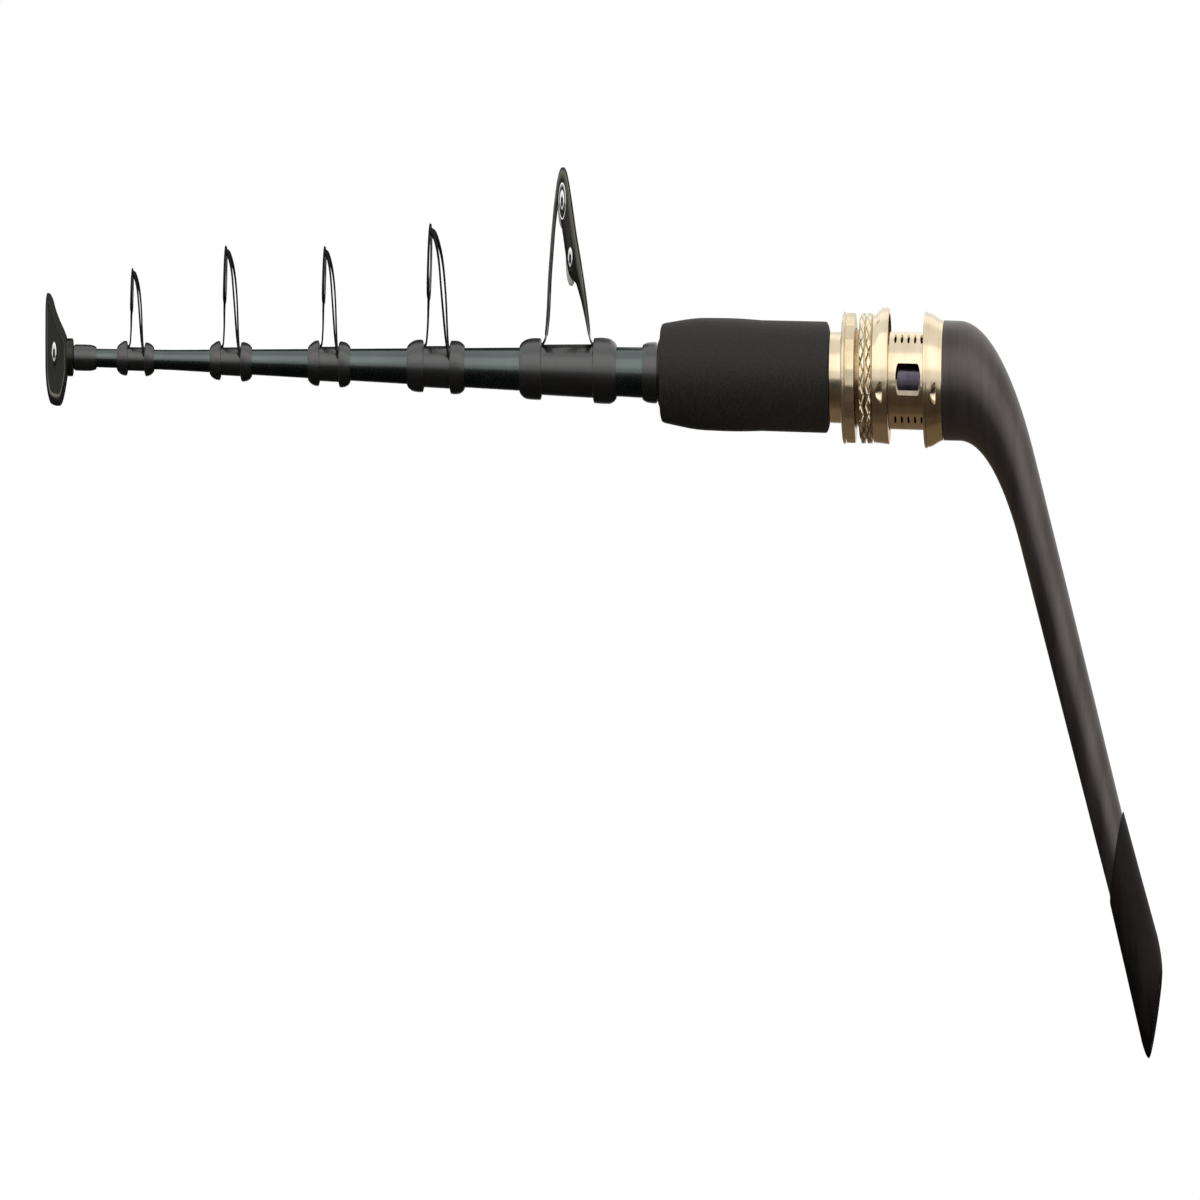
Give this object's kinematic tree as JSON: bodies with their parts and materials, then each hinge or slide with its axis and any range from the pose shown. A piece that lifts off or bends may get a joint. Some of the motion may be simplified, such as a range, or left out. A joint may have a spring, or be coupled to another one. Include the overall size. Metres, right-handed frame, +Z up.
{
  "type": "trolling rod",
  "caption": "Bent butt trolling fishing rod with ring guides, a double roller stripper guide, a roller tip, a reel seat with sliding hood, a foam foregrip and a gimbal butt.",
  "frame": {"origin": "centre of the flat end of the rubber butt cap", "axes": "-X from the reel seat to the tip along the straight blank, +Z up, the side that the guides and the reel are on; the bent butt goes down to the origin at 36.7 degrees"},
  "size_m": [1.6469, 0.038, 0.2434],
  "materials": {
    "gold_anodised": "champagne gold anodised, satin",
    "black_coated": "black coated, satin",
    "ceramic_ring": "polished dark grey ceramic",
    "epoxied_thread": "dark grey thread under clear epoxy",
    "roller_steel": "turned stainless steel",
    "bronze": "sintered bronze",
    "chromed_steel": "bright chromed",
    "blank_fibreglass": "near black lacquered fibreglass",
    "eva_foam": "matt black foam",
    "dark_sleeve": "dark anodised",
    "black_butt": "black anodised, satin",
    "black_rubber": "matt black rubber"
  },
  "bodies": {
    "rod": {"seat_barrel": "gold_anodised", "rear_hood": "gold_anodised", "gimbal": "gold_anodised", "tip_frame": "black_coated", "stripper_frame": "black_coated", "winding_check": "black_coated", "guide_1_frame": "black_coated", "guide_1_ring": "ceramic_ring", "guide_1_front_wrap": "epoxied_thread", "guide_1_rear_wrap": "epoxied_thread", "guide_2_frame": "black_coated", "guide_2_ring": "ceramic_ring", "guide_2_front_wrap": "epoxied_thread", "guide_2_rear_wrap": "epoxied_thread", "guide_3_frame": "black_coated", "guide_3_ring": "ceramic_ring", "guide_3_front_wrap": "epoxied_thread", "guide_3_rear_wrap": "epoxied_thread", "guide_4_frame": "black_coated", "guide_4_ring": "ceramic_ring", "guide_4_front_wrap": "epoxied_thread", "guide_4_rear_wrap": "epoxied_thread", "tip_bushing": "bronze", "tip_axle_screw": "chromed_steel", "tip_axle_nut": "chromed_steel", "stripper_upper_bushing": "bronze", "stripper_upper_axle_screw": "chromed_steel", "stripper_upper_axle_nut": "chromed_steel", "stripper_lower_bushing": "bronze", "stripper_lower_axle_screw": "chromed_steel", "stripper_lower_axle_nut": "chromed_steel", "tip_wrap": "epoxied_thread", "grip_wrap": "epoxied_thread", "stripper_front_wrap": "epoxied_thread", "stripper_rear_wrap": "epoxied_thread", "stripper_underwrap": "epoxied_thread", "blank": "blank_fibreglass", "foregrip": "eva_foam", "seat_sleeve": "dark_sleeve", "butt_ferrule": "roller_steel", "butt_tube": "black_butt", "gimbal_pin": "roller_steel"},
    "front_hood": {"front_hood": "gold_anodised"},
    "hood_nut": {"hood_nut": "gold_anodised"},
    "jam_nut": {"jam_nut": "gold_anodised"},
    "gimbal_cap": {"gimbal_cap": "black_rubber"},
    "tip_roller": {"tip_roller": "roller_steel"},
    "stripper_upper_roller": {"stripper_upper_roller": "roller_steel"},
    "stripper_lower_roller": {"stripper_lower_roller": "roller_steel"}
  },
  "joints": [
    {"name": "tip_roller_spin", "type": "hinge", "parent": "rod", "child": "tip_roller", "pos_m": [-1.62462, 0, 0.17544], "axis": [0, 1, 0], "continuous": true},
    {"name": "stripper_upper_spin", "type": "hinge", "parent": "rod", "child": "stripper_upper_roller", "pos_m": [-0.87562, 0, 0.22134], "axis": [0, 1, 0], "continuous": true},
    {"name": "stripper_lower_spin", "type": "hinge", "parent": "rod", "child": "stripper_lower_roller", "pos_m": [-0.86352, 0, 0.20554], "axis": [0, 1, 0], "continuous": true},
    {"name": "hood_slide", "type": "slide", "parent": "rod", "child": "front_hood", "axis": [-1, 0, 0], "range_m": [0, 0.01201]},
    {"name": "hood_nut_turn", "type": "hinge", "parent": "front_hood", "child": "hood_nut", "pos_m": [-0.42722, 0, 0.17454], "axis": [-1, 0, 0], "range_deg": [0, 2880]},
    {"name": "jam_nut_turn", "type": "hinge", "parent": "front_hood", "child": "jam_nut", "pos_m": [-0.45322, 0, 0.17454], "axis": [-1, 0, 0], "range_deg": [0, 2881]},
    {"name": "cap_slide", "type": "slide", "parent": "rod", "child": "gimbal_cap", "axis": [0.8018, 0, -0.5976], "range_m": [0, 0.0745]}
  ],
  "couplings": [
    {"joint": "hood_slide", "follows": "hood_nut_turn", "m_per_rad": 0.00023873},
    {"joint": "jam_nut_turn", "follows": "hood_nut_turn", "ratio": 1}
  ]
}
